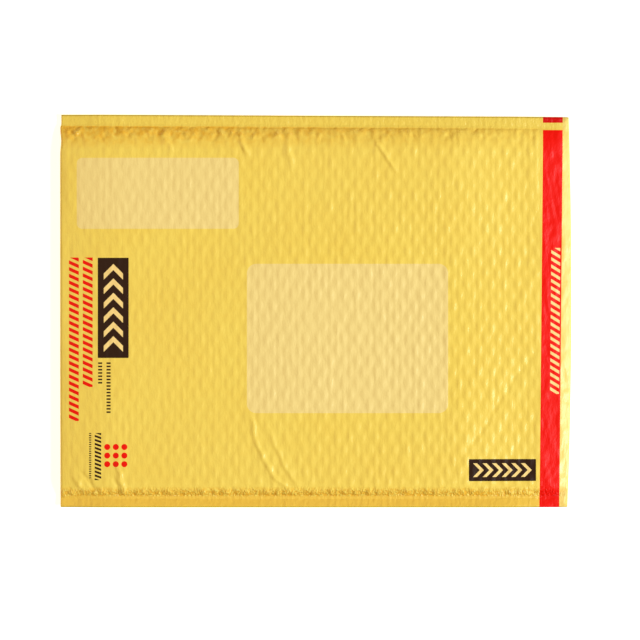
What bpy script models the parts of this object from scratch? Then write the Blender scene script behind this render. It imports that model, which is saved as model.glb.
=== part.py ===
"""Padded mailing envelope: a polyethylene film pocket lined with bubble film, lying face up.

Frame: metres. +X runs from the bottom fold to the mouth, +Y to the upper side seam and +Z out of
the address face. The origin is under the middle of the envelope, on the surface that it lies on.

The outer film is one sheet. It starts at the mouth edge of the back panel, runs to the bottom fold,
comes back as the front panel, turns round the mouth and ends in a flap that lies under the back
panel. Both long sides are welded flat. The bubble lining is one sheet folded in half inside it.
The flap carries a strip of glue, which a release strip covers.
"""
import math

import bmesh
import bpy

# ---- driving dimensions ---------------------------------------------------------------------
LENGTH = 0.2985            # bottom fold to the turned mouth, at its longest
WIDTH = 0.229              # across both side seams, at the bottom fold
TAPER = 0.0014             # the mouth end is narrower by this much, on the +Y side
BOW = 0.145                # the mouth edge is an arc: its set-back is BOW times distance squared
BOW_CENTRE = 0.012         # the arc's middle, measured in +Y from the middle of the width

SEAM = 0.0065              # width of each welded side seam
FILM = 0.0004              # film thickness, heavier than the real film so that it is a sound solid
GAP = 0.0003               # clearance between pieces that touch
LINER_PLY = 0.0031         # thickness of one ply of bubble lining, bubbles included
LINER_SETBACK = 0.0178     # the lining ends this far before the turned mouth

FLAP = 0.046               # length of the flap behind the back panel
GLUE_THICK = 0.00025
GLUE_WIDTH = 0.012
GLUE_SETBACK = 0.012       # from the flap's free edge to the glue
RELEASE_THICK = 0.0002
RELEASE_WIDTH = 0.018
STRIP_MARGIN = 0.008       # the glue stops this far from the envelope's sides
RELEASE_MARGIN = 0.0035    # the release strip stops this far from them

BODY_HEIGHT = 0.0098       # top of the filled-out body above the surface
BODY_CROWN = 0.0008        # extra height at the middle of the body
NOSE = 0.0016              # depth of the rounding at each folded end
FOLD_TOP = 0.0040          # top of the film where it turns the bottom fold
FOLD_BOTTOM = 0.0012       # underside there
FOLD_RISE = 0.026          # distance in which the body fills out from the bottom fold
FOLD_SETTLE = 0.014        # distance in which the underside comes down from the bottom fold
FLAP_RAMP = 0.012          # distance in which the back panel climbs onto the flap
LINER_END_TOP = 0.0078     # top of the film above the lining's end
LINER_FALL = 0.030         # distance in which the face comes down to that from the body
MOUTH_TOP = 0.0034         # top of the film where it turns the mouth
MOUTH_SLIT = 0.0025        # width of the slit between the back panel's edge and the turn
SEAM_HEIGHT = 0.0044       # mid-height of the side seams along the body
SEAM_FOLD_HEIGHT = 0.0026  # and at the bottom fold
SEAM_FOLD_RISE = 0.030     # distance in which the seams climb from the fold
SEAM_MOUTH_HEIGHT = 0.0025 # and at the mouth
SEAM_FALL_START = 0.040    # the seams start to come down this far before the mouth
SEAM_FALL = 0.038          # distance in which they do so
SIDE_RISE = 0.013          # distance in which the body fills out from a side seam
SIDE_POWER = 2.4           # how steeply it does so

# ---- derived --------------------------------------------------------------------------------
X_FOLD = -LENGTH / 2
X_MOUTH = LENGTH / 2
X_FLAP_EDGE = X_MOUTH - FLAP
STACK = FILM + GAP + GLUE_THICK + GAP + RELEASE_THICK + GAP
TURN_WALL = 0.0012         # film round the end of the space between flap and back panel
TURN_COVER = 1.6 * FILM    # film over the pocket's end, where it follows the turn
NOSE_STEPS = 6

# Distances from the fold at which sections are set out, along the body.
BODY_STEPS = (0.0016, 0.004, 0.008, 0.013, 0.019, 0.026, 0.050, 0.085, 0.120, 0.155, 0.190, 0.215,
              0.238, 0.245, 0.250, 0.254, 0.262, 0.272)
# Distances from a side edge at which sections are set out, up to the middle of the width.
SIDE_STEPS = (0.0, SEAM, 0.0073, 0.0081, 0.0095, 0.0115, 0.0140, 0.0170, 0.0205, 0.045, 0.080)
MOUTH_STEPS = (0.0, 0.005, 0.010)   # further sections, at these distances past the lining's end
TAIL_STEPS = len(MOUTH_STEPS) + 1   # these, and the one at the slit
ROUNDING = 1e-9            # distances that differ by less than this are the same
CAVITY_STEP = 2            # index in SIDE_STEPS where the pocket begins
LINER_STEP = 3             # index in SIDE_STEPS where the lining begins


def ease(t):
    """Smooth step from 0 at t = 0 to 1 at t = 1."""
    t = min(max(t, 0.0), 1.0)
    return t * t * (3 - 2 * t)


def fill_out(t, power):
    """Rise that starts steeply at t = 0 and levels off at t = 1."""
    t = min(max(t, 0.0), 1.0)
    return 1 - (1 - t) ** power


def side_stations():
    """Positions across the width, from 0 at the -Y edge to 1 at the +Y edge."""
    low = [step / WIDTH for step in SIDE_STEPS]
    return low + [0.5] + [1 - v for v in reversed(low)]


def mouth_x(v):
    """X of the turned mouth at position v across the width."""
    y = (v - 0.5) * WIDTH
    return X_MOUTH - BOW * (y - BOW_CENTRE) ** 2


def place_y(x, v):
    """Y at length x and position v; the +Y edge runs in towards the mouth."""
    width = WIDTH - TAPER * (x - X_FOLD) / LENGTH
    return -WIDTH / 2 + v * width


def edge_distance(v):
    """Distance in from the nearer side edge."""
    return min(v, 1 - v) * WIDTH


def seam_z(s, length):
    """Mid-height of the side seams at distance s from the fold."""
    rise = (SEAM_HEIGHT - SEAM_FOLD_HEIGHT) * ease(s / SEAM_FOLD_RISE)
    fall = (SEAM_HEIGHT - SEAM_MOUTH_HEIGHT) * ease((s - length + SEAM_FALL_START) / SEAM_FALL)
    return SEAM_FOLD_HEIGHT + rise - fall


def top_line(s, length):
    """Height of the face along the middle of the envelope."""
    liner_end = length - LINER_SETBACK
    if s > liner_end:
        t = (s - liner_end) / (LINER_SETBACK - NOSE)
        return LINER_END_TOP + (MOUTH_TOP - LINER_END_TOP) * min(t, 1.0)
    body = BODY_HEIGHT + BODY_CROWN * math.sin(math.pi * s / liner_end)
    body += (LINER_END_TOP - BODY_HEIGHT) * ease((s - liner_end + LINER_FALL) / LINER_FALL)
    return FOLD_TOP + (body - FOLD_TOP) * fill_out((s - NOSE) / FOLD_RISE, 2.0)


def bottom_line(s, length):
    """Height of the back panel's underside along the middle: flat, and raised over the flap."""
    lift = FOLD_BOTTOM * (1 - ease((s - NOSE) / FOLD_SETTLE))
    over_flap = STACK * ease((s - (length - FLAP) + FLAP_RAMP) / FLAP_RAMP)
    return lift + over_flap


def top_z(s, length, v):
    """Height of the face at any point."""
    rise = fill_out((edge_distance(v) - SEAM) / SIDE_RISE, SIDE_POWER)
    seam = seam_z(s, length) + FILM
    return seam + (top_line(s, length) - seam) * rise


def bottom_z(s, length, v):
    """Height of the back panel's underside at any point."""
    rise = fill_out((edge_distance(v) - SEAM) / SIDE_RISE, SIDE_POWER)
    seam = seam_z(s, length) - FILM
    return seam + (bottom_line(s, length) - seam) * rise


def lengthwise(length):
    """Distances from the fold where sections are set out, ending before the turned mouth."""
    liner_end = length - LINER_SETBACK
    tail = [liner_end + step for step in MOUTH_STEPS]
    return list(BODY_STEPS) + tail + [length - MOUTH_SLIT - TURN_WALL]


def nose_points(v, inset):
    """Rounding at the bottom fold, from its top round to its underside."""
    length = mouth_x(v) - X_FOLD
    top = top_z(NOSE, length, v) - inset
    bottom = bottom_z(NOSE, length, v) + inset
    middle, half = (top + bottom) / 2, (top - bottom) / 2
    points = []
    for step in range(1, NOSE_STEPS):
        angle = math.pi * step / NOSE_STEPS
        x = X_FOLD + NOSE - (NOSE - inset) * math.sin(angle)
        points.append((x, middle + half * math.cos(angle)))
    return points


def ring_at(v, outline):
    """Turn an outline of (x, z) points into points in space at position v across the width."""
    return [(x, place_y(x, v), z) for x, z in outline]


def film_outline(v):
    """Outline of the film, with its pocket still filled, cut at position v across the width."""
    length = mouth_x(v) - X_FOLD
    x_slot = mouth_x(v) - TURN_WALL
    outline = [(X_FOLD + s, top_z(s, length, v)) for s in reversed(lengthwise(length))]
    outline += nose_points(v, 0.0)
    outline += [(X_FOLD + s, bottom_z(s, length, v)) for s in lengthwise(length)]
    outline.append((x_slot, bottom_z(length - TURN_WALL, length, v)))
    x_turn = mouth_x(v) - NOSE
    outline += [(x_slot, FILM), (X_FLAP_EDGE, FILM), (X_FLAP_EDGE, 0.0), (x_turn, 0.0)]
    half = top_z(length - NOSE, length, v) / 2
    for step in range(1, NOSE_STEPS + 1):
        angle = math.pi * step / NOSE_STEPS
        outline.append((x_turn + NOSE * math.sin(angle), half - half * math.cos(angle)))
    return outline


def pocket_outline(v):
    """Outline of the pocket inside the film, from its end at the turn round to the slit's edge."""
    length = mouth_x(v) - X_FOLD
    outline = [(mouth_x(v) - TURN_WALL, top_z(length - NOSE, length, v) - TURN_COVER)]
    outline += [(X_FOLD + s, top_z(s, length, v) - FILM) for s in reversed(lengthwise(length))]
    outline += nose_points(v, FILM)
    outline += [(X_FOLD + s, bottom_z(s, length, v) + FILM) for s in lengthwise(length)]
    return outline


def liner_outline(v):
    """Outline of the folded bubble lining: out along one ply, round its fold, back on the other."""
    length = mouth_x(v) - X_FOLD
    cover = FILM + GAP
    steps = [s for s in lengthwise(length) if s <= length - LINER_SETBACK + ROUNDING]
    steps[-1] -= GAP
    outer = [(X_FOLD + s, top_z(s, length, v) - cover) for s in reversed(steps)]
    outer += nose_points(v, cover)
    outer += [(X_FOLD + s, bottom_z(s, length, v) + cover) for s in steps]
    inner = []
    for s in reversed(steps[1:]):
        low = bottom_z(s, length, v) + cover
        high = top_z(s, length, v) - cover
        inner.append((X_FOLD + s, low + ply_at(high - low)))
    for s in steps[1:]:
        low = bottom_z(s, length, v) + cover
        high = top_z(s, length, v) - cover
        inner.append((X_FOLD + s, high - ply_at(high - low)))
    return outer + inner


def ply_at(room):
    """Thickness of one ply where both plies and the space between them share this much room."""
    return min(LINER_PLY, (room - GAP) / 2)


def add_rows(bm, rings):
    """One vertex for each point of each ring."""
    return [[bm.verts.new(point) for point in ring] for ring in rings]


def add_face(bm, corners, inward=False):
    """Face over corners given anticlockwise, or turned to face the other way."""
    bm.faces.new(corners[::-1] if inward else corners)


def ladder(start, stop, facing):
    """Quads between points start to stop and the run facing them, numbered down from facing."""
    return [(i, i + 1, facing - (i - start) - 1, facing - (i - start)) for i in range(start, stop)]


def pocket_cap(first, run):
    """Cap over a ring's two long runs of so many points and the fold between, from point first."""
    middle = first + run + NOSE_STEPS // 2 - 1
    last = first + 2 * run + NOSE_STEPS - 2
    return ladder(first, middle - 1, last) + [(middle - 1, middle, middle + 1)]


def liner_cap(run):
    """Cap over a ring round two plies of so many points each and the fold that joins them."""
    under = run + NOSE_STEPS
    total = 4 * run + NOSE_STEPS - 3
    fold = tuple(range(run - 2, under + 1)) + (3 * run + NOSE_STEPS - 3, 3 * run + NOSE_STEPS - 2)
    return (ladder(0, run - 2, total - 1) + [fold]
            + ladder(under, under + run - 2, 3 * run + NOSE_STEPS - 3))


def add_wall(bm, rows, cap, inward=False, open_side=None, open_rows=range(0)):
    """Faces between neighbouring rings, and the given groups of points as a cap at each end.

    The rings run anticlockwise seen from -Y and are set out towards +Y. The strip that follows
    point open_side is left out along open_rows.
    """
    count = len(rows[0])
    for k, (row, following) in enumerate(zip(rows, rows[1:])):
        for i in range(count):
            if i == open_side and k in open_rows:
                continue
            j = (i + 1) % count
            add_face(bm, (row[i], following[i], following[j], row[j]), inward)
    for group in cap:
        add_face(bm, [rows[0][i] for i in group], inward)
        add_face(bm, [rows[-1][i] for i in group], not inward)


def finish_piece(bm, name, make_material):
    """Triangulate, and put the mesh into an object of its own."""
    bmesh.ops.triangulate(bm, faces=bm.faces[:], quad_method="SHORT_EDGE", ngon_method="BEAUTY")
    mesh = bpy.data.meshes.new(name)
    bm.to_mesh(mesh)
    bm.free()
    mesh.materials.append(make_material())
    obj = bpy.data.objects.new(name, mesh)
    bpy.context.collection.objects.link(obj)


def material(name, colour, roughness):
    """Plain plastic or paper finish; none of the pieces is metal."""
    finish = bpy.data.materials.new(name)
    finish.use_nodes = True
    shader = finish.node_tree.nodes["Principled BSDF"]
    shader.inputs["Base Color"].default_value = (*colour, 1.0)
    shader.inputs["Roughness"].default_value = roughness
    shader.inputs["Metallic"].default_value = 0.0
    return finish


def film_material():
    return material("yellow_film", (0.84, 0.55, 0.08), 0.32)


def liner_material():
    return material("clear_bubble_film", (0.80, 0.84, 0.86), 0.20)


def glue_material():
    return material("pale_glue", (0.82, 0.76, 0.60), 0.45)


def release_material():
    return material("white_release_paper", (0.88, 0.88, 0.86), 0.40)


def make_outer_film():
    """Film pocket with welded sides and a turned flap.

    The outside is one wall of rings, and the pocket another, facing inwards. A slit along the back
    panel's edge joins the pocket to the space between the back panel and the flap.
    """
    bm = bmesh.new()
    stations = side_stations()
    first, last = CAVITY_STEP, len(stations) - 1 - CAVITY_STEP
    outer = add_rows(bm, [ring_at(v, film_outline(v)) for v in stations])
    inner = add_rows(bm, [ring_at(v, pocket_outline(v)) for v in stations[first:last + 1]])
    run = len(BODY_STEPS) + TAIL_STEPS
    slit = 2 * run + NOSE_STEPS - 2
    turn = (slit, slit + 1, slit + 2, *range(slit + 5, len(outer[0])), 0)
    flap = (slit + 2, slit + 3, slit + 4, slit + 5)
    add_wall(bm, outer, pocket_cap(0, run) + [turn, flap],
             open_side=slit, open_rows=range(first, last))
    add_wall(bm, inner, pocket_cap(1, run) + [(0, 1, len(inner[0]) - 1)],
             inward=True, open_side=len(inner[0]) - 1, open_rows=range(last - first))
    around = outer[first:last + 1]
    for row, following, lower, lower_next in zip(inner, inner[1:], around, around[1:]):
        add_face(bm, (lower[slit], lower_next[slit], following[-1], row[-1]))
        add_face(bm, (lower_next[slit + 1], lower[slit + 1], row[0], following[0]))
    for row, lower, inward in ((inner[0], around[0], True), (inner[-1], around[-1], False)):
        add_face(bm, (lower[slit], lower[slit + 1], row[0], row[-1]), inward)
    finish_piece(bm, "outer_film", film_material)


def make_bubble_liner():
    """One sheet of bubble lining folded in half, its fold lying in the envelope's bottom fold."""
    bm = bmesh.new()
    stations = side_stations()
    inside = stations[LINER_STEP:len(stations) - LINER_STEP]
    run = len(BODY_STEPS) + 1
    add_wall(bm, add_rows(bm, [ring_at(v, liner_outline(v)) for v in inside]), liner_cap(run))
    finish_piece(bm, "bubble_liner", liner_material)


def make_strip(name, x_low, x_high, z_low, thick, margin, make_material):
    """Flat strip that lies along the flap."""
    rings = []
    for y in (margin - WIDTH / 2, WIDTH / 2 - TAPER - margin):
        rings.append([(x_low, y, z_low), (x_high, y, z_low),
                      (x_high, y, z_low + thick), (x_low, y, z_low + thick)])
    bm = bmesh.new()
    add_wall(bm, add_rows(bm, rings), [(0, 1, 2, 3)])
    finish_piece(bm, name, make_material)


def make_flap_strips():
    """Glue on the inner face of the flap, and the release strip that covers it."""
    glue_low = X_FLAP_EDGE + GLUE_SETBACK
    glue_z = FILM + GAP
    make_strip("adhesive_strip", glue_low, glue_low + GLUE_WIDTH, glue_z, GLUE_THICK, STRIP_MARGIN,
               glue_material)
    overhang = (RELEASE_WIDTH - GLUE_WIDTH) / 2
    make_strip("release_liner", glue_low - overhang, glue_low + GLUE_WIDTH + overhang,
               glue_z + GLUE_THICK + GAP, RELEASE_THICK, RELEASE_MARGIN, release_material)


def main():
    for obj in list(bpy.data.objects):
        bpy.data.objects.remove(obj, do_unlink=True)
    make_outer_film()
    make_bubble_liner()
    make_flap_strips()


main()
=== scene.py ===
import math

import bpy
import numpy as np
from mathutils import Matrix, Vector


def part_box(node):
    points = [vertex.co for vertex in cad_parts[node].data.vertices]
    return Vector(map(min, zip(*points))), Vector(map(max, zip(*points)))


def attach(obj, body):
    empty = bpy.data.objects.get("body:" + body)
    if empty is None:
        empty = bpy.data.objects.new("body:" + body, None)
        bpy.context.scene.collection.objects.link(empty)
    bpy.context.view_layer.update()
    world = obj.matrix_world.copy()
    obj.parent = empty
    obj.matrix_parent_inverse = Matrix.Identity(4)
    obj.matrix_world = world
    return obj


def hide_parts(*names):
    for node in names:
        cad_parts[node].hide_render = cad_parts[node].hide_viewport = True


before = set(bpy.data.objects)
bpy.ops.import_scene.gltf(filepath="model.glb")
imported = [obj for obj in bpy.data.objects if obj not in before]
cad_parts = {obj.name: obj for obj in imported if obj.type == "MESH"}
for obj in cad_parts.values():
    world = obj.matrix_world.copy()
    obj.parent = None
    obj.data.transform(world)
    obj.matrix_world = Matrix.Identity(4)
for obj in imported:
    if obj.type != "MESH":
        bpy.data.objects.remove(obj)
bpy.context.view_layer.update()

# Yellow padded envelope of polyethylene film, lying face up on a pale table.
#
# Lengths are in metres. s is the distance from the bottom fold towards the mouth, t the distance
# from the lower side edge, and v the share of the width, 0 at the lower edge and 1 at the upper one.

MM = 0.001
FILM_LOW, FILM_HIGH = (np.array(corner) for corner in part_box("outer_film"))

# ---- envelope, as built ----------------------------------------------------------------------
LENGTH = 298.5 * MM
WIDTH = 229.0 * MM
TAPER = 1.4 * MM             # the upper edge runs in by this much towards the mouth
BOW = 0.145                  # the mouth edge is set back by BOW times distance squared
BOW_CENTRE = 12.0 * MM
SEAM = 6.5 * MM              # welded side seam
PLY = 0.4 * MM               # half the thickness of a side seam
LINER_SETBACK = 17.8 * MM    # lining ends this far before the mouth
LINER_PLY = 3.1 * MM
LINER_COVER = 0.7 * MM       # from the film's outer face to the lining
FLAP = 46.0 * MM
STACK = 1.75 * MM            # flap, glue and release strip under the back panel
NOSE = 1.6 * MM              # depth of the rounding at each fold
SLIT = 3.7 * MM              # back panel's edge to the turned mouth
BODY_HEIGHT, BODY_CROWN = 9.5 * MM, 0.6 * MM
FOLD_TOP, FOLD_BOTTOM, FOLD_RISE = 6.8 * MM, 1.2 * MM, 36.0 * MM
LINER_END_TOP, MOUTH_TOP, MOUTH_FALL = 6.6 * MM, 3.9 * MM, 55.0 * MM
SEAM_HEIGHT, SEAM_FOLD_HEIGHT, SEAM_MOUTH_HEIGHT = 4.4 * MM, 2.6 * MM, 2.5 * MM
CURL_LOWER, CURL_UPPER = 2.4 * MM, 0.8 * MM   # outer edge of a side seam over its inner edge
RISE_LOWER, RISE_UPPER, SIDE_POWER = 10.0 * MM, 15.0 * MM, 2.4
MOUTH_ROLL = 7.0 * MM        # the face starts to roll over this far before the mouth
X_FOLD = FILM_LOW[0]
Y_EDGE = FILM_LOW[1]
X_FLAP_EDGE = X_FOLD + LENGTH - FLAP

# ---- surface of the film ----------------------------------------------------------------------
WALL = 0.3 * MM              # thickness given to the film
WALL_BODY = 0.4 * MM         # extra depth of its inner face where bubbles stand out of the outer one
BUBBLE_PITCH = 7.49 * MM
BUBBLE_ROW = 6.41 * MM
BUBBLE_RELIEF = 0.44 * MM
ROW_BLEND = 6.4 * MM
DOME_POWER = 1.6
BUBBLE_PHASE = (4.4 * MM, 2.0 * MM)

# ---- lining ----
GAP_END = 0.6 * MM           # lining's end to the place where the film's lined part ends
PLY_GAP = 0.3 * MM           # least room between the two plies
DOME_SINK = 0.15 * MM        # a dome starts this far inside its ply
DOME_SHORT = 0.45 * MM       # and is this much lower than the ply is thick, to clear the film
DOME_RADIUS = 3.15 * MM
DOME_SIDES = 8
DOME_PROFILE = ((1.0, 0.0), (0.97, 0.42), (0.80, 0.82), (0.42, 1.0))   # radius and height shares

SEAM_CELLS, GATHER_CELLS, BODY_CELLS = 5, 20, 148
GATHER = 15.0 * MM           # finer cells this far in from each side seam
FRONT_CELLS, BACK_CELLS, FLAP_CELLS, NOSE_CELLS = 300, 99, 10, 7


# ---- shape functions --------------------------------------------------------------------------
def ease(t):
    """Smooth step: 3 t squared less 2 t cubed, held at 0 and 1 outside."""
    t = np.clip(t, 0.0, 1.0)
    return t * t * (3 - 2 * t)


def fill_out(t, power):
    """1 less (1 - t) to a power: steep at 0 and level at 1."""
    return 1 - (1 - np.clip(t, 0.0, 1.0)) ** power


def length_at(v):
    """Distance from the bottom fold to the turned mouth: an arc, lower by BOW times y squared."""
    y = (v - 0.5) * WIDTH
    return LENGTH - BOW * (y - BOW_CENTRE) ** 2


def place_y(s, v):
    """Y across the width, with the upper edge running in towards the mouth."""
    return Y_EDGE + v * (WIDTH - TAPER * s / LENGTH)


def side_rise(v):
    """0 along the side seams, filling out to 1 sooner at the lower seam than at the upper one."""
    lower = fill_out((v * WIDTH - SEAM) / RISE_LOWER, SIDE_POWER)
    return lower * fill_out(((1 - v) * WIDTH - SEAM) / RISE_UPPER, SIDE_POWER)


def seam_height(s, length, v):
    """Middle of the side seams: low at the fold and the mouth, with the outer edge curled up."""
    rise = ease(s / (30 * MM))
    fall = ease((s - length + 40 * MM) / (38 * MM))
    edge = np.minimum(v, 1 - v) * WIDTH
    curl = np.where(v < 0.5, CURL_LOWER, CURL_UPPER) * np.clip(1 - edge / SEAM, 0, 1)
    curl = curl * (0.3 + 0.7 * rise) * (1 - 0.8 * fall)
    middle = SEAM_FOLD_HEIGHT + (SEAM_HEIGHT - SEAM_FOLD_HEIGHT) * rise
    return middle - (SEAM_HEIGHT - SEAM_MOUTH_HEIGHT) * fall + curl


def top_height(s, length, v):
    """Face: a level, slightly crowned body that falls to both folds and to the side seams."""
    liner_end = length - LINER_SETBACK
    body = BODY_HEIGHT + BODY_CROWN * np.sin(np.pi * np.clip(s / liner_end, 0, 1))
    body = body + (LINER_END_TOP - BODY_HEIGHT) * ease((s - liner_end + MOUTH_FALL) / MOUTH_FALL)
    line = FOLD_TOP + (body - FOLD_TOP) * fill_out((s - NOSE) / FOLD_RISE, 2.0)
    past = np.clip((s - liner_end) / (LINER_SETBACK - NOSE), 0, 1)
    line = line + (MOUTH_TOP - line) * past
    seam = seam_height(s, length, v) + PLY
    return seam + (line - seam) * side_rise(v)


def bottom_height(s, length, v):
    """Underside of the back panel: flat, lifted at the fold and over the flap."""
    line = FOLD_BOTTOM * (1 - ease((s - NOSE) / (14 * MM)))
    line = line + STACK * ease((s - (length - FLAP) + 12 * MM) / (12 * MM))
    seam = seam_height(s, length, v) - PLY
    return seam + (line - seam) * side_rise(v)


# ---- relief -----------------------------------------------------------------------------------
def waves(x, y, seed, count, shortest, longest):
    """Sum of sine waves of random direction, length and phase, over the root of their count."""
    rng = np.random.default_rng(seed)
    total = np.zeros(np.broadcast(x, y).shape)
    for _ in range(count):
        turn = rng.uniform(-0.5, 0.5) * math.pi
        wave = math.tau / rng.uniform(shortest, longest)
        phase = rng.uniform(0, math.tau)
        total += np.sin(wave * (x * math.cos(turn) + y * math.sin(turn)) + phase)
    return total / math.sqrt(count)


def lumps(x, y, seed, size_x, size_y):
    """Smooth random unevenness from -1 to 1: random corner values of cells, eased between."""
    table = np.random.default_rng(seed).uniform(-1, 1, (97, 97))
    x, y = np.broadcast_arrays(x / size_x, y / size_y)
    i, j = np.floor(x).astype(int), np.floor(y).astype(int)
    fx, fy = ease(x - i), ease(y - j)
    low = table[i % 97, j % 97] * (1 - fx) + table[(i + 1) % 97, j % 97] * fx
    high = table[i % 97, (j + 1) % 97] * (1 - fx) + table[(i + 1) % 97, (j + 1) % 97] * fx
    return low * (1 - fy) + high * fy


def bubble_relief(s, t, seed):
    """Film stretched over rows of bubbles: half of 1 + cos(tau u / pitch) to DOME_POWER.

    Odd rows are offset by half a pitch, and neighbouring rows are eased into each other over
    ROW_BLEND. Every bubble has a lift and a place of its own.
    """
    rng = np.random.default_rng(seed)
    lift = rng.uniform(0.75, 1.15, (64, 64))
    shift = rng.uniform(-0.5, 0.5, (64, 64)) * 0.6 * MM
    u, w = s - BUBBLE_PHASE[0], t - BUBBLE_PHASE[1]
    u = u + 0.4 * MM * lumps(s, t, seed + 50, 9 * MM, 13 * MM)
    height = np.zeros(np.broadcast(u, w).shape)
    base_row = np.round(w / BUBBLE_ROW).astype(int)
    for step in (-1, 0, 1):
        row = base_row + step
        share = ease(((BUBBLE_ROW + ROW_BLEND) / 2 - np.abs(w - row * BUBBLE_ROW)) / ROW_BLEND)
        offset = (row % 2) * BUBBLE_PITCH / 2
        base_column = np.round((u - offset) / BUBBLE_PITCH).astype(int)
        for side in (-1, 0, 1):
            column = base_column + side
            i, j = row % 64, column % 64
            away = (u - offset - column * BUBBLE_PITCH - shift[i, j]) / BUBBLE_PITCH
            dome = (0.5 + 0.5 * np.cos(math.tau * np.clip(away, -0.5, 0.5))) ** DOME_POWER
            height += share * lift[i, j] * dome
    return height * BUBBLE_RELIEF


def crease(s, t, points, height, half_width):
    """Ridge along a line of (s, t) points in mm, with a bell-shaped section, fading at its ends."""
    points = np.array(points, dtype=float) * MM
    best = np.full(np.broadcast(s, t).shape, 1e9)
    along = np.zeros(best.shape)
    runs = np.linalg.norm(np.diff(points, axis=0), axis=1)
    done, total = 0.0, runs.sum()
    for start, stop, run in zip(points, points[1:], runs):
        share = ((s - start[0]) * (stop[0] - start[0]) + (t - start[1]) * (stop[1] - start[1]))
        share = np.clip(share / run ** 2, 0, 1)
        away = np.hypot(s - start[0] - share * (stop[0] - start[0]),
                        t - start[1] - share * (stop[1] - start[1]))
        nearer = away < best
        along = np.where(nearer, (done + share * run) / total, along)
        best = np.where(nearer, away, best)
        done += run
    fade = np.sin(np.pi * np.clip(along * 0.9 + 0.05, 0, 1)) ** 0.7
    return height * fade * np.exp(-(best / half_width) ** 2)


# Creases in the face: points (s, t) in mm, height in mm and half width in mm.
FACE_CREASES = (
    (((183.7, 214.5), (188.0, 207.5), (196.0, 195.5)), 0.85, 1.2),
    (((111.5, 56.0), (113.5, 43.0), (117.3, 32.0), (125.4, 17.7), (134.2, 9.5)), 0.80, 1.15),
    (((122.0, 45.0), (129.0, 28.0), (138.5, 12.0)), 0.45, 1.2),
    (((275.0, 89.0), (262.0, 71.0), (249.0, 50.0), (236.0, 30.0)), -0.42, 1.0),
    (((33.5, 26.0), (36.0, 15.0), (38.8, 8.5)), 0.65, 1.2),
    (((31.5, 18.0), (33.5, 12.0), (35.0, 8.0)), -0.45, 1.1),
    (((105.5, 221.0), (106.5, 213.0), (110.0, 205.0)), 0.65, 1.2),
    (((134.2, 220.5), (133.5, 208.0), (135.5, 196.0)), 0.55, 1.2),
    (((7.5, 216.5), (10.5, 219.0), (13.0, 222.0)), 1.00, 1.2),
    (((8.5, 17.5), (12.0, 12.0), (17.8, 6.5)), 0.70, 1.2),
    (((12.5, 21.0), (18.0, 13.5), (24.0, 8.0)), -0.45, 1.2),
    (((60.5, 221.5), (62.0, 214.0), (66.0, 207.0)), 0.50, 1.2),
)


def gathers(s, edge, seed, count, height, reach):
    """Short folds square to a seam: leaning bell-shaped ridges and hollows at random places.

    Each is height times exp(-(a / its half width)^2 - (b / its half length)^2), where a runs along
    the seam and b away from it.
    """
    rng = np.random.default_rng(seed)
    total = np.zeros(np.broadcast(s, edge).shape)
    for _ in range(count):
        place, out = rng.uniform(0, LENGTH), rng.uniform(0.4 * MM, reach)
        lean, half_width = rng.uniform(-0.7, 0.7), rng.uniform(0.75 * MM, 1.3 * MM)
        half_length = rng.uniform(1.2 * MM, 2.6 * MM)
        size = rng.choice((-1.0, 1.0)) * rng.uniform(0.4, 1.0)
        along = s - place + lean * (edge - out)
        total += size * np.exp(-(along / half_width) ** 2 - ((edge - out) / half_length) ** 2)
    return height * total


def seam_puckers(s, t, width, seed):
    """Gathers beside both side seams, and the groove along each seam's inner edge."""
    lower, upper = t - SEAM, width - t - SEAM
    fade = 1.25 - 0.60 * ease(s / (0.8 * LENGTH))
    total = gathers(s, upper, seed, 230, 0.85 * MM * fade, 7.0 * MM)
    total = total + gathers(s, lower, seed + 1, 560, 0.55 * MM, 3.0 * MM)
    total = total * ease(np.minimum(lower, upper) / (1.0 * MM))
    near = np.minimum(np.abs(lower), np.abs(upper))
    return total - 0.40 * MM * np.exp(-(near / (0.7 * MM)) ** 2)


def mouth_crumple(s, t, length):
    """Fine creases in the unlined strip at the mouth, mostly along the mouth."""
    strip = ease((s - length + LINER_SETBACK + 1.5 * MM) / (4 * MM))
    strip = strip * ease((length - s) / (2.5 * MM))
    lean = s + 0.18 * t
    folded = 1 - 2 * np.abs(lumps(lean, t, 71, 3.2 * MM, 7.0 * MM))
    fine = lumps(s - 0.25 * t, t, 72, 2.3 * MM, 5.0 * MM)
    return strip * (0.20 * MM * folded + 0.15 * MM * fine)


def corner_wrinkles(s, t):
    """Close ridges along the lower seam near the mouth, where the film is pressed together."""
    place = np.exp(-((s - 259 * MM) / (17 * MM)) ** 2) * np.exp(-((t - 10.5 * MM) / (4.5 * MM)) ** 2)
    return 0.34 * MM * place * np.sin(t * math.tau / (3.1 * MM) + 3 * np.sin(s * 90))


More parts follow.
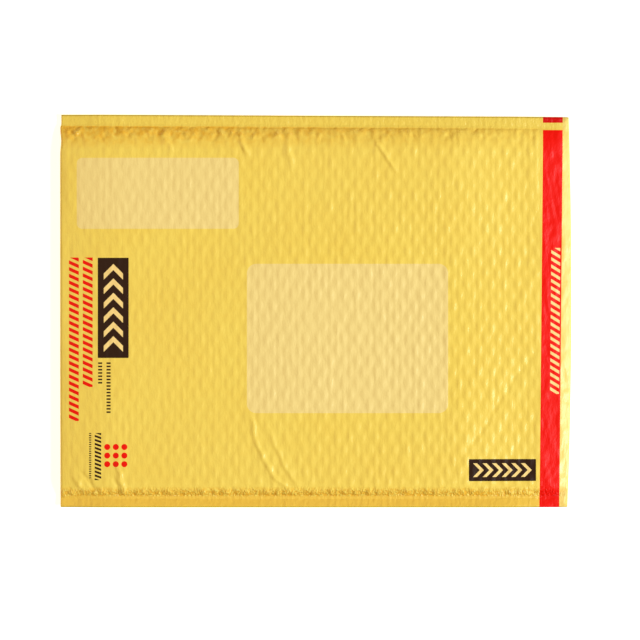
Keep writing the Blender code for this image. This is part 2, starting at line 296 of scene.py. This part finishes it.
def face_relief(s, t, v, length):
    """All relief on the face, over its filled-out height."""
    inside = side_rise(v) ** 0.5
    lined = ease((length - LINER_SETBACK - s) / (3 * MM)) * ease((s - NOSE) / (3 * MM))
    strength = 0.55 + 0.60 * ease(s / LENGTH)
    relief = bubble_relief(s, t, 5) * inside * lined * strength
    swell = 0.40 * MM * lumps(s, t, 11, 45 * MM, 38 * MM) * inside * lined
    streak = lumps(s, t, 13, 1.9 * MM, 9 * MM) + 0.9 * lumps(s, t, 14, 3.1 * MM, 15 * MM)
    streak = (0.07 + 0.05 * ease(s / LENGTH)) * MM * streak * inside * lined
    flat = 0.14 * MM * lumps(s, t, 17, 3.0 * MM, 2.4 * MM) * (1 - inside)
    total = relief + swell + streak + flat + mouth_crumple(s, t, length) * inside
    width = WIDTH - TAPER * s / LENGTH
    total = total + seam_puckers(s, t, width, 23) * lined + corner_wrinkles(s, t)
    total = np.clip(total, -0.5 * MM, None)
    roll = np.clip((s - length + MOUTH_ROLL) / (MOUTH_ROLL - NOSE), 0, 1)
    total = total - 0.65 * MM * roll ** 1.7
    wiggle = 1.0 * MM * lumps(s, t, 37, 4 * MM, 4 * MM)
    dash = 1.55 + 0.5 * lumps(s, t, 39, 4 * MM, 4 * MM)
    for points, height, half_width in FACE_CREASES:
        line = crease(s + wiggle, t, points, height * MM, half_width * MM)
        total = total + line * dash * inside
    return total * ease((s - 0.4 * MM) / (2 * MM))


def back_relief(s, t, v, length):
    """Relief on the back panel: flattened where it lies on the table."""
    inside = side_rise(v) ** 0.5
    lined = ease((length - LINER_SETBACK - s) / (3 * MM)) * ease((s - NOSE) / (3 * MM))
    bubbles = (BUBBLE_RELIEF - bubble_relief(s, t, 6)) * inside * lined
    puckers = np.clip(-seam_puckers(s, t, WIDTH, 29) * lined, -0.3 * MM, None)
    return 0.8 * bubbles + puckers * (1 - side_rise(v)) + 0.0 * v


def fold_waver(v):
    """How far the bottom fold is set back: in the upper seam, in a dent below it, and slightly low."""
    seam = 0.65 * MM * ease((v - 1 + (SEAM + 0.6 * MM) / WIDTH) * WIDTH / (1.2 * MM))
    dent = 0.55 * MM * np.exp(-((v * WIDTH - 213.5 * MM) / (4.5 * MM)) ** 2)
    return seam + dent + 0.2 * MM * (1 - ease(v * 2.5))


# ---- the film as one folded sheet --------------------------------------------------------------
def film_path(v, inset, counts, relief):
    """Section of the film at shares v of the width, from the back panel's edge to the flap's.

    It runs along the back panel to the bottom fold, round a half ellipse, along the face, round
    a half ellipse at the mouth, and along the flap. inset moves it inwards. Returns s, z and the
    share of face in each point, as arrays of one row for each point of the path.
    """
    front, back, flap, nose = counts
    length = length_at(v)[None, :]
    v = v[None, :]
    rise = side_rise(v)
    deep = inset * (1 + WALL_BODY / WALL * rise * (inset > 0))
    share = np.linspace(0, 1, back + 1)[:, None]
    s_back = (length - SLIT) + (NOSE - length + SLIT) * share
    z_back = bottom_height(s_back, length, v) + deep
    share = np.linspace(0, 1, front + 1)[:, None]
    s_front = NOSE + (length - 2 * NOSE) * share
    z_front = top_height(s_front, length, v) - deep
    if relief:
        t_back, t_front = place_y(s_back, v) - Y_EDGE, place_y(s_front, v) - Y_EDGE
        z_back = z_back + back_relief(s_back, t_back, v, length)
        z_front = z_front + face_relief(s_front, t_front, v, length)
    turn = np.linspace(0, np.pi, nose + 1)[1:-1, None]
    middle, half = (z_front[:1] + z_back[-1:]) / 2, (z_front[:1] - z_back[-1:]) / 2
    s_fold = NOSE - (NOSE - inset) * np.sin(turn)
    z_fold = middle - half * np.cos(turn)
    half = (z_front[-1:] - inset) / 2
    s_mouth = length - NOSE + (NOSE - inset) * np.sin(turn)
    z_mouth = inset + half + half * np.cos(turn)
    share = np.linspace(0, 1, flap + 1)[:, None]
    s_flap = (length - NOSE) + (LENGTH - FLAP - length + NOSE) * share
    z_flap = np.full(s_flap.shape, inset) + 0.0 * v
    s_all = [s_back, s_fold + 0.0 * v, s_front, s_mouth, s_flap]
    z_all = [z_back, z_fold, z_front, z_mouth, z_flap]
    face = np.concatenate([np.full(len(part), kind) for part, kind in zip(s_all, (0, 0.5, 1, 1, 0))])
    s_all = np.concatenate(s_all)
    return s_all + fold_waver(v) * (1 - ease(s_all / (25 * MM))), np.concatenate(z_all), face


def grid_faces(rows, columns, first=0, flip=False):
    """Quads over a grid of points numbered row by row."""
    i = np.arange(rows - 1)[:, None] * columns + np.arange(columns - 1)[None, :] + first
    quads = np.stack([i, i + 1, i + columns + 1, i + columns], axis=-1).reshape(-1, 4)
    return quads[:, ::-1] if flip else quads


def stitch(fine, coarse, flip):
    """Triangles between a run of 3 n + 1 points and a run of n + 1 points beside it."""
    a, b, c, d = fine[:-1:3], fine[1::3], fine[2::3], fine[3::3]
    low, high = coarse[:-1], coarse[1:]
    tris = np.concatenate([np.stack(group, axis=-1) for group in
                           ((a, b, low), (b, c, low), (c, high, low), (c, d, high))])
    return tris[:, ::-1] if flip else tris


def mesh_object(name, points, faces, smooth=True):
    """Object at the origin with its place in its mesh, from an array of points and of faces."""
    mesh = bpy.data.meshes.new(name)
    mesh.from_pydata(points.tolist(), [], [f for group in faces for f in group.tolist()])
    mesh.update()
    mesh.polygons.foreach_set("use_smooth", np.full(len(mesh.polygons), smooth))
    obj = bpy.data.objects.new(name, mesh)
    bpy.context.collection.objects.link(obj)
    return obj


def make_film():
    """Outer film: a fine outer face, a coarser inner one a third as dense, and joined edges."""
    stops = np.array([0, SEAM, SEAM + GATHER, WIDTH - SEAM - GATHER, WIDTH - SEAM, WIDTH]) / WIDTH
    cells = (SEAM_CELLS, GATHER_CELLS, BODY_CELLS, GATHER_CELLS, SEAM_CELLS)
    v = np.concatenate([np.linspace(low, high, count, endpoint=False)
                        for low, high, count in zip(stops, stops[1:], cells)] + [[1.0]])
    s, z, face = film_path(v, 0.0, (FRONT_CELLS, BACK_CELLS, FLAP_CELLS, NOSE_CELLS), True)
    rows, columns = s.shape
    z = np.maximum(z, 0)
    outer = np.stack([X_FOLD + s, place_y(s, v[None, :]), z], axis=-1).reshape(-1, 3)
    v_in = v[::3]
    s_fine, z_fine, _ = film_path(v_in, WALL, (FRONT_CELLS, BACK_CELLS, FLAP_CELLS, NOSE_CELLS), False)
    s_in, z_in = s_fine[::3], z_fine[::3]
    inner = np.stack([X_FOLD + s_in, place_y(s_in, v_in[None, :]), z_in], axis=-1).reshape(-1, 3)
    count = rows * columns
    rows_in, columns_in = s_in.shape
    fine = np.arange(count).reshape(rows, columns)
    coarse = count + np.arange(rows_in * columns_in).reshape(rows_in, columns_in)
    faces = [grid_faces(rows, columns, flip=True),
             grid_faces(rows_in, columns_in, count),
             stitch(fine[:, 0], coarse[:, 0], True), stitch(fine[:, -1], coarse[:, -1], False),
             stitch(fine[0], coarse[0], False), stitch(fine[-1], coarse[-1], True)]
    film = mesh_object("film_envelope", np.concatenate([outer, inner]), faces)
    panel = np.concatenate([np.repeat(face, columns), np.repeat(face[::3], columns_in)])
    film.data.attributes.new("face_share", "FLOAT", "POINT").data.foreach_set("value", panel)
    return film


# ---- bubble lining -----------------------------------------------------------------------------
def liner_room(s, length, v):
    """Lowest and highest height that the lining may fill."""
    return (bottom_height(s, length, v) + LINER_COVER, top_height(s, length, v) - LINER_COVER)


def make_liner():
    """Folded flat ply, with a closed dome for every bubble standing on its outer side."""
    margin = 2.2 * MM
    v = np.linspace((SEAM + margin) / WIDTH, 1 - (SEAM + margin) / WIDTH, 61)[None, :]
    length = length_at(v)
    share = np.linspace(0, 1, 57)[:, None]
    s = 5 * MM + (length - LINER_SETBACK - GAP_END - 5 * MM) * share
    low, high = liner_room(s, length, v)
    ply = np.minimum(LINER_PLY, (high - low - PLY_GAP) / 2)
    z_low, z_high = low + ply - 0.25 * MM, high - ply + 0.25 * MM
    turn = np.linspace(0, np.pi, 8)[1:-1, None]
    middle, half = (z_low[:1] + z_high[:1]) / 2, (z_high[:1] - z_low[:1]) / 2
    s_turn = s[:1] - np.sin(turn) * 2.6 * MM
    z_turn = middle - half * np.cos(turn)
    outer_s = np.concatenate([s[::-1], s_turn, s])
    outer_z = np.concatenate([z_low[::-1], z_turn, z_high])
    thin = 0.2 * MM
    inner_z = np.concatenate([z_low[::-1] + thin, middle - (half - thin) * np.cos(turn),
                              z_high - thin])
    inner_s = np.concatenate([s[::-1], s_turn + thin * np.sin(turn), s])
    v_all = np.broadcast_to(v, outer_s.shape)
    outer = np.stack([X_FOLD + outer_s, place_y(outer_s, v_all), outer_z], axis=-1)
    inner = np.stack([X_FOLD + inner_s, place_y(inner_s, v_all), inner_z], axis=-1)
    rows, columns = outer_s.shape
    count = rows * columns
    fine = np.arange(count).reshape(rows, columns)
    faces = [grid_faces(rows, columns, flip=True), grid_faces(rows, columns, count)]
    for line, flip in ((fine[:, 0], True), (fine[:, -1], False), (fine[0], False), (fine[-1], True)):
        band = np.stack([line[:-1], line[1:], line[1:] + count, line[:-1] + count], axis=-1)
        faces.append(band[:, ::-1] if flip else band)
    points = [outer.reshape(-1, 3), inner.reshape(-1, 3)]
    total = 2 * count
    for side in (1, -1):
        domes, dome_faces = make_domes(side, total)
        points.append(domes)
        faces += dome_faces
        total += len(domes)
    return mesh_object("bubble_sheet", np.concatenate(points), faces)




def make_domes(side, first):
    """Bubbles of one ply: rings of a flattened dome, set at every place of the lattice.

    A point is the bubble's centre plus its radius share times (cos a, sin a), lifted by its height
    share times the room between the ply and the film.
    """
    columns = np.arange(0, 38)
    rows = np.arange(1, 35)
    grid_row, grid_column = np.meshgrid(rows, columns, indexing="ij")
    s = BUBBLE_PHASE[0] + (grid_column + (grid_row % 2) / 2) * BUBBLE_PITCH
    t = BUBBLE_PHASE[1] + grid_row * BUBBLE_ROW
    s, t = s.ravel(), t.ravel()
    v = t / WIDTH
    length = length_at(v)
    radius = DOME_RADIUS
    edge = np.minimum(t, WIDTH - t)
    keep = (s > 9 * MM) & (s < length - LINER_SETBACK - radius - GAP_END) & (edge > SEAM + 5.2 * MM)
    s, t, v, length = s[keep], t[keep], v[keep], length[keep]
    angle = np.arange(DOME_SIDES) * math.tau / DOME_SIDES
    shares = np.array(DOME_PROFILE)
    ring_s = (shares[:, :1] * np.cos(angle)).ravel() * radius
    ring_t = (shares[:, :1] * np.sin(angle)).ravel() * radius
    ring_h = np.repeat(shares[:, 1], DOME_SIDES)
    s_all, t_all = s[:, None] + ring_s, t[:, None] + ring_t
    v_all = t_all / WIDTH
    length_all = length_at(v_all)
    low, high = liner_room(s_all, length_all, v_all)
    ply = np.minimum(LINER_PLY, (high - low - PLY_GAP) / 2)
    if side > 0:
        base, reach = high - ply + DOME_SINK, ply - DOME_SHORT
    else:
        base, reach = low + ply - DOME_SINK, -(ply - DOME_SHORT)
    z = base + ring_h * reach
    points = np.stack([X_FOLD + s_all, place_y(s_all, v_all), z], axis=-1).reshape(-1, 3)
    per = len(ring_h)
    starts = first + np.arange(len(s)) * per
    around = np.arange(DOME_SIDES)
    after = (around + 1) % DOME_SIDES
    quads = np.concatenate([np.stack([ring * DOME_SIDES + around, ring * DOME_SIDES + after,
                                      (ring + 1) * DOME_SIDES + after,
                                      (ring + 1) * DOME_SIDES + around], axis=-1)
                            for ring in range(len(shares) - 1)])
    top = (len(shares) - 1) * DOME_SIDES + around
    bottom = around[::-1]
    if side < 0:
        quads, top, bottom = quads[:, ::-1], top[::-1], bottom[::-1]
    faces = [(starts[:, None, None] + quads).reshape(-1, 4), starts[:, None] + top,
             starts[:, None] + bottom]
    return points, faces


# ---- glue and release strip --------------------------------------------------------------------
def make_strip(name, node, cells, wave, edge):
    """Thin strip that fills its node's box: a closed sheet with softly rounded edges and waves."""
    low, high = (np.array(corner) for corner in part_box(node))
    across, along = cells
    u = np.linspace(-1, 1, across + 1)[:, None]
    w = np.linspace(-1, 1, along + 1)[None, :]
    middle, half = (low + high) / 2, (high - low) / 2
    x = middle[0] + half[0] * u + 0.0 * w
    y = middle[1] + half[1] * w + 0.0 * u
    round_off = (1 - np.abs(u) ** edge) ** 0.5 * (1 - np.abs(w) ** (edge * 8)) ** 0.5
    ripple = wave * half[2] * waves(x, y, 41, 6, 6 * MM, 25 * MM)
    top = middle[2] + half[2] * (0.25 + 0.70 * round_off) * (1 - 0.1 * wave) + 0.15 * ripple
    bottom = middle[2] - half[2] * (0.25 + 0.70 * round_off) + 0.0 * x
    rows, columns = x.shape
    count = rows * columns
    points = np.concatenate([np.stack([x, y, top], -1).reshape(-1, 3),
                             np.stack([x, y, bottom], -1).reshape(-1, 3)])
    grid = np.arange(count).reshape(rows, columns)
    faces = [grid_faces(rows, columns, 0, flip=True), grid_faces(rows, columns, count)]
    for line, flip in ((grid[:, 0], True), (grid[:, -1], False), (grid[0], False), (grid[-1], True)):
        band = np.stack([line[:-1], line[1:], line[1:] + count, line[:-1] + count], axis=-1)
        faces.append(band[:, ::-1] if flip else band)
    return mesh_object(name, points, faces)


# ---- materials ---------------------------------------------------------------------------------
class Field:
    """A number that varies over the surface. Arithmetic on it adds Math nodes to its tree."""

    def __init__(self, tree, socket):
        self.tree = tree
        self.socket = socket

    def op(self, kind, other=None, clamp=False):
        node = self.tree.nodes.new("ShaderNodeMath")
        node.operation = kind
        node.use_clamp = clamp
        self.tree.links.new(self.socket, node.inputs[0])
        if isinstance(other, Field):
            self.tree.links.new(other.socket, node.inputs[1])
        elif other is not None:
            node.inputs[1].default_value = other
        return Field(self.tree, node.outputs[0])

    def __add__(self, other):
        return self.op("ADD", other)

    def __sub__(self, other):
        return self.op("SUBTRACT", other)

    def __mul__(self, other):
        return self.op("MULTIPLY", other)

    def size(self):
        return self.op("ABSOLUTE")

    def above(self, other):
        return self.op("GREATER_THAN", other)

    def below(self, other):
        return self.op("LESS_THAN", other)

    def most(self, other):
        return self.op("MAXIMUM", other)


def new_material(name):
    """Material with a Principled shader, its tree, and the shader."""
    material = bpy.data.materials.new(name)
    material.use_nodes = True
    tree = material.node_tree
    return material, tree, tree.nodes["Principled BSDF"]


def object_point(tree):
    return tree.nodes.new("ShaderNodeTexCoord").outputs["Object"]


def noise(tree, point, scale, detail=3.0, roughness=0.55, stretch=(1, 1, 1)):
    """Noise of the given scale in cycles per metre, stretched along the axes."""
    mapping = tree.nodes.new("ShaderNodeMapping")
    mapping.inputs["Scale"].default_value = stretch
    tree.links.new(point, mapping.inputs["Vector"])
    node = tree.nodes.new("ShaderNodeTexNoise")
    node.inputs["Scale"].default_value = scale
    node.inputs["Detail"].default_value = detail
    node.inputs["Roughness"].default_value = roughness
    tree.links.new(mapping.outputs[0], node.inputs["Vector"])
    return Field(tree, node.outputs["Fac"])


def blend_colour(tree, factor, first, second):
    """Mix of two colours, each a socket or three numbers, by a Field."""
    node = tree.nodes.new("ShaderNodeMix")
    node.data_type = "RGBA"
    tree.links.new(factor.socket, node.inputs[0])
    for value, socket in ((first, node.inputs[6]), (second, node.inputs[7])):
        if isinstance(value, tuple):
            socket.default_value = (*value, 1.0)
        else:
            tree.links.new(value, socket)
    return node.outputs[2]


def band(field, low, high):
    """1 between two values, 0 outside."""
    return (field - (low + high) / 2).size().below((high - low) / 2)


def fade_from(away, reach):
    """From 1 at the line where away is 0 to 0 at reach from it, and 0 on its other side."""
    near = (away * (-1 / reach) + 1.0).op("MAXIMUM", 0.0)
    return near * away.above(0.0)


def rounded_box(s, t, box, radius):
    """1 inside a box (s low, t low, s high, t high) in mm with rounded corners."""
    half_s, half_t = (box[2] - box[0]) / 2 - radius, (box[3] - box[1]) / 2 - radius
    out_s = ((s - (box[0] + box[2]) / 2).size() - half_s).most(0.0)
    out_t = ((t - (box[1] + box[3]) / 2).size() - half_t).most(0.0)
    away = (out_s * out_s + out_t * out_t).op("SQRT")
    return away.below(radius)


def slanted_bars(s, t, box, pitch, share, lean):
    """A row of leaning bars along t in a box (s low, t low, s high, t high) in mm."""
    count = (t + s * lean) * (1 / pitch)
    bar = (count - count.op("FLOOR")).below(share)
    return bar * band(s, box[0], box[2]) * band(t, box[1], box[3])


def disc_grid(s, t, box, pitch, radius):
    """Discs in a square grid that fills a box (s low, t low, s high, t high) in mm."""
    column, row = (s - box[0]) * (1 / pitch), (t - box[1]) * (1 / pitch)
    ds = (column - column.op("FLOOR") - 0.5) * pitch
    dt = (row - row.op("FLOOR") - 0.5) * pitch
    disc = (ds * ds + dt * dt).below(radius ** 2)
    return disc * band(s, box[0], box[2]) * band(t, box[1], box[3])


def chevrons(along, across, first, count, middle, half, pitch, thick):
    """Row of arrowheads along one direction: bands of along plus the distance from the middle."""
    away = (across - middle).size()
    slant = (along + away - first) * (1 / pitch)
    part = slant - slant.op("FLOOR")
    return part.below(thick) * away.below(half) * band(slant, 0.0, count)


FILM_COLOUR = (0.790, 0.635, 0.123)
FILM_DEEP = (0.760, 0.520, 0.066)
# Deeper orange of gathered film, also used as painted shade beside and on the side seams.
FILM_GATHER_TONE_AND_SHADE = (0.750, 0.450, 0.045)
WELD_COLOUR = (0.520, 0.400, 0.040)
# Paler print of the address fields, also used as a painted highlight on the mouth margin.
PALE_FIELD_AND_SHEEN_COLOUR = (0.785, 0.646, 0.255)
RED_INK = (0.760, 0.004, 0.001)
TAB_RED = (0.560, 0.002, 0.001)
DARK_INK = (0.028, 0.012, 0.007)
PALE_INK = (0.830, 0.640, 0.260)

RETURN_FIELD = (10.0, 162.3, 104.4, 203.6)
ADDRESS_FIELD = (109.1, 55.0, 226.2, 141.9)
SIDE_PLATE = (22.3, 87.1, 40.3, 145.4)
CORNER_PLATE = (238.3, 15.4, 277.5, 28.2)


def film_material():
    """Yellow film: printed fields, a red band at the mouth, painted shade along the side seams, a painted
    highlight on the mouth margin, soft gloss and fine surface creases.
    """
    material, tree, shader = new_material("yellow_mailer_film")
    point = object_point(tree)
    split = tree.nodes.new("ShaderNodeSeparateXYZ")
    tree.links.new(point, split.inputs[0])
    s = (Field(tree, split.outputs[0]) - X_FOLD) * 1000.0
    t = (Field(tree, split.outputs[1]) - Y_EDGE) * 1000.0
    side = tree.nodes.new("ShaderNodeAttribute")
    side.attribute_name = "face_share"
    face = Field(tree, side.outputs["Fac"]).above(0.75)

    cloud = noise(tree, point, 28, 4.0)
    grain = noise(tree, point, 420, 3.0)
    tint = (cloud - 0.5) * 0.5 + (grain - 0.5) * 0.35
    colour = blend_colour(tree, (tint + 0.18).op("MAXIMUM", 0.0), FILM_COLOUR, FILM_DEEP)

    upper = t * -1.0 + (WIDTH / MM) - s * (TAPER / LENGTH)
    inner = SEAM / MM
    # Painted shade: a darker, more orange band below the upper seam, strongest towards the bottom fold and
    # fading towards the mouth, where the face slopes away from the light.
    high_gather_shade = fade_from(upper - inner, 14.0) * (s * -0.0042 + 1.35).op("MAXIMUM", 0.30)
    # Along the lower seam, toothed marks in the same colour: partly the deeper colour of gathered film,
    # partly painted shade in the gathers.
    low_gather = (fade_from(t - inner, 6.0) * 1.7).op("MINIMUM", 1.0)
    patchy = (noise(tree, point, 300, 3.0) - 0.5) * 3.0 + 0.8
    teeth = (noise(tree, point, 950, 2.0, 0.5, (1.0, 0.28, 1.0)) - 0.5) * 5.0 + 0.65
    teeth = teeth.op("MINIMUM", 1.2).op("MAXIMUM", 0.0)
    gather_tone_and_shade = (high_gather_shade * patchy).most(low_gather * teeth)
    colour = blend_colour(tree, gather_tone_and_shade.op("MINIMUM", 1.0), colour, FILM_GATHER_TONE_AND_SHADE)
    # Painted shade: the lower seam strip is darkened, as where it faces away from the light.
    colour = blend_colour(tree, t.below(inner) * 0.55, colour, FILM_GATHER_TONE_AND_SHADE)
    colour = blend_colour(tree, upper.below(inner) * 0.18, colour, WELD_COLOUR)
    weld = t.op("MINIMUM", upper).below(0.75)
    colour = blend_colour(tree, weld * 0.7, colour, WELD_COLOUR)

    slant = s - t * (2.05 / 219.7)
    # Painted highlight: the margin past the red band is paled, as where the film rolls over towards the
    # light at the mouth.
    colour = blend_colour(tree, slant.above(291.2) * face * 0.40, colour, PALE_FIELD_AND_SHEEN_COLOUR)
    pale = rounded_box(s, t, RETURN_FIELD, 3.2).most(rounded_box(s, t, ADDRESS_FIELD, 5.5))
    colour = blend_colour(tree, pale * face, colour, PALE_FIELD_AND_SHEEN_COLOUR)

    red = band(slant, 279.6, 291.2)
    gap = band(t, 220.0, 224.3)
    red = red - red * gap
    rows = slanted_bars(s, t, (5.4, 50.4, 11.2, 145.6), 3.9, 0.55, 0.45)
    rows = rows.most(slanted_bars(s, t, (13.5, 70.2, 19.3, 145.6), 3.9, 0.55, 0.45))
    dots = disc_grid(s, t, (25.3, 22.8, 40.3, 37.8), 5.0, 1.75)
    rows = rows.most(dots)
    red_ink = red.most(rows) * face
    colour = blend_colour(tree, red_ink, colour, RED_INK)
    colour = blend_colour(tree, red * t.above(222.0) * face, colour, TAB_RED)
    hatch = slanted_bars(slant, t, (285.1, 66.1, 290.4, 151.2), 4.2, 0.45, 0.6)
    colour = blend_colour(tree, hatch * face, colour, PALE_INK)

    dark = rounded_box(s, t, SIDE_PLATE, 0.4).most(rounded_box(s, t, CORNER_PLATE, 0.4))
    dark = dark.most(slanted_bars(s, t, (20.5, 16.0, 24.3, 43.4), 2.3, 0.55, 0.35))
    dark = dark.most(slanted_bars(s, t, (27.4, 54.4, 29.8, 84.7), 1.9, 0.5, 0.0))
    dark = dark.most(slanted_bars(s, t, (22.5, 71.9, 24.9, 84.7), 1.9, 0.5, 0.0))
    dark = dark.most(slanted_bars(s, t, (17.2, 17.1, 18.5, 43.4), 1.3, 0.5, 0.0))
    dark_ink = dark * face
    colour = blend_colour(tree, dark_ink, colour, DARK_INK)
    marks = chevrons(t, s, 96.3, 6, 31.4, 5.6, 8.4, 0.42)
    marks = marks.most(chevrons(s, t, 244.7, 6, 21.8, 4.0, 5.6, 0.42))
    colour = blend_colour(tree, marks * face, colour, PALE_INK)
    tree.links.new(colour, shader.inputs["Base Color"])

    ink = red_ink * 0.6 + dark_ink
    rough = (noise(tree, point, 60, 4.0) - 0.5) * 0.16 + 0.32 + ink * 0.16
    tree.links.new(rough.socket, shader.inputs["Roughness"])
    shader.inputs["IOR"].default_value = 1.50
    gloss = ink * -0.18 + 0.28
    tree.links.new(gloss.socket, shader.inputs["Specular IOR Level"])

    column = BUBBLE_PITCH / MM / 2
    wander = (noise(tree, point, 90, 3.0) - 0.5) * 2.4
    columns = ((s - (BUBBLE_PHASE[0] / MM - column / 4) + wander) * (math.tau / column)).op("SINE")
    patches = (noise(tree, point, 140, 2.0, 0.5, (1.0, 0.5, 1.0)) - 0.5) * 2.4 + 0.8
    patches = patches.op("MAXIMUM", 0.0)
    columns = columns * patches * (s * 0.0002 + 0.045) * s.below((LENGTH - LINER_SETBACK) / MM)
    streaks = noise(tree, point, 380, 4.0, 0.62, (1.0, 0.33, 1.0))
    fine = noise(tree, point, 900, 2.0)
    near_edge = ((t.op("MINIMUM", upper) * -0.1) + 1.6).op("MINIMUM", 1.0).op("MAXIMUM", 0.0)
    puckered = noise(tree, point, 520, 3.0, 0.6, (1.0, 0.6, 1.0)) * near_edge
    height = streaks * 0.8 + fine * 0.2 + puckered * 0.9 + teeth * low_gather * -0.7 + columns
    bump = tree.nodes.new("ShaderNodeBump")
    bump.inputs["Strength"].default_value = 0.6
    bump.inputs["Distance"].default_value = 0.75 * MM
    tree.links.new(height.socket, bump.inputs["Height"])
    tree.links.new(bump.outputs[0], shader.inputs["Normal"])
    return material


def liner_material():
    """Clear bubble film, slightly milky, with a fine flow grain."""
    material, tree, shader = new_material("milky_bubble_film")
    point = object_point(tree)
    haze = noise(tree, point, 180, 3.0)
    colour = blend_colour(tree, haze, (0.66, 0.71, 0.74), (0.86, 0.89, 0.90))
    tree.links.new(colour, shader.inputs["Base Color"])
    rough = (noise(tree, point, 350, 2.0) - 0.5) * 0.12 + 0.22
    tree.links.new(rough.socket, shader.inputs["Roughness"])
    shader.inputs["IOR"].default_value = 1.50
    bump = tree.nodes.new("ShaderNodeBump")
    bump.inputs["Strength"].default_value = 0.2
    bump.inputs["Distance"].default_value = 0.1 * MM
    tree.links.new(noise(tree, point, 700, 3.0).socket, bump.inputs["Height"])
    tree.links.new(bump.outputs[0], shader.inputs["Normal"])
    return material


def strip_material(name, dark, light, roughness, scale):
    """Glue or release paper: mottled colour, uneven gloss and a fine raised grain."""
    material, tree, shader = new_material(name)
    point = object_point(tree)
    mottle = noise(tree, point, scale, 4.0)
    tree.links.new(blend_colour(tree, mottle, dark, light), shader.inputs["Base Color"])
    rough = (noise(tree, point, scale * 2, 3.0) - 0.5) * 0.2 + roughness
    tree.links.new(rough.socket, shader.inputs["Roughness"])
    bump = tree.nodes.new("ShaderNodeBump")
    bump.inputs["Strength"].default_value = 0.25
    bump.inputs["Distance"].default_value = 0.1 * MM
    tree.links.new(noise(tree, point, scale * 6, 3.0).socket, bump.inputs["Height"])
    tree.links.new(bump.outputs[0], shader.inputs["Normal"])
    return material


def floor_material():
    """Plain pale table, lit from within a little so that it stays near white."""
    material, tree, shader = new_material("pale_table")
    shader.inputs["Base Color"].default_value = (0.86, 0.86, 0.86, 1.0)
    shader.inputs["Roughness"].default_value = 0.9
    shader.inputs["Specular IOR Level"].default_value = 0.0
    shader.inputs["Emission Color"].default_value = (1.0, 1.0, 1.0, 1.0)
    shader.inputs["Emission Strength"].default_value = 0.70
    return material


# ---- stage -------------------------------------------------------------------------------------
def make_floor():
    size = 3.0
    points = np.array([(-size, -size, 0), (size, -size, 0), (size, size, 0), (-size, size, 0)])
    points[:, 2] = -0.05 * MM
    floor = mesh_object("table_top", points, [np.array([[0, 1, 2, 3]])], smooth=False)
    floor.data.materials.append(floor_material())


def add_light(name, place, target, size, power, colour):
    """Square soft light at a place, turned towards a target."""
    data = bpy.data.lights.new(name, "AREA")
    data.shape = "SQUARE"
    data.size = size
    data.energy = power
    data.color = colour
    light = bpy.data.objects.new(name, data)
    light.location = place
    away = np.array(place) - np.array(target)
    flat = math.hypot(away[0], away[1])
    light.rotation_euler = (math.atan2(flat, away[2]), 0.0, math.atan2(away[0], -away[1]))
    bpy.context.collection.objects.link(light)


def aim(azimuth, elevation, distance):
    """Place at a distance from the table's middle, at angles in degrees from +X and the table."""
    flat = distance * math.cos(math.radians(elevation))
    turn = math.radians(azimuth)
    height = distance * math.sin(math.radians(elevation))
    return (flat * math.cos(turn), flat * math.sin(turn), height)


def make_lights():
    world = bpy.data.worlds.new("soft_room")
    world.use_nodes = True
    world.node_tree.nodes["Background"].inputs["Color"].default_value = (1.0, 0.70, 0.36, 1.0)
    world.node_tree.nodes["Background"].inputs["Strength"].default_value = 0.40
    bpy.context.scene.world = world
    add_light("key_right", aim(-12, 38, 5.0), (0.0, 0.0, 0.0), 1.5, 266.0, (0.93, 1.0, 1.05))
    add_light("fill_left", aim(165, 50, 2.2), (0.0, 0.0, 0.0), 1.2, 11.0, (1.0, 0.76, 0.45))


def make_camera():
    """Camera straight above, with a long lens; the frame is 373 mm wide at the envelope."""
    frame_width, height, sensor = 0.373, 2.4, 36.0
    data = bpy.data.cameras.new("camera_above")
    data.sensor_width = sensor
    data.lens = sensor * (height - 6 * MM) / frame_width
    data.dof.use_dof = False
    camera = bpy.data.objects.new("camera_above", data)
    camera.location = (2.4 * MM, -5.3 * MM, height)
    bpy.context.collection.objects.link(camera)
    bpy.context.scene.camera = camera


# ---- assembly ----------------------------------------------------------------------------------
def place_piece(piece, material, node):
    piece.data.materials.append(material)
    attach(piece, "root")
    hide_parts(node)


def main():
    make_camera()
    bpy.context.scene.view_settings.view_transform = "Standard"
    film = make_film()
    place_piece(film, film_material(), "outer_film")
    liner = make_liner()
    place_piece(liner, liner_material(), "bubble_liner")
    glue = make_strip("glue_line", "adhesive_strip", (12, 120), 0.6, 4)
    place_piece(glue, strip_material("hot_melt_glue", (0.70, 0.62, 0.42), (0.85, 0.79, 0.62), 0.40, 260),
                "adhesive_strip")
    release = make_strip("release_strip", "release_liner", (12, 100), 0.3, 24)
    place_piece(release, strip_material("release_paper", (0.80, 0.80, 0.78), (0.90, 0.90, 0.88), 0.42, 500),
                "release_liner")
    make_floor()
    make_lights()


main()
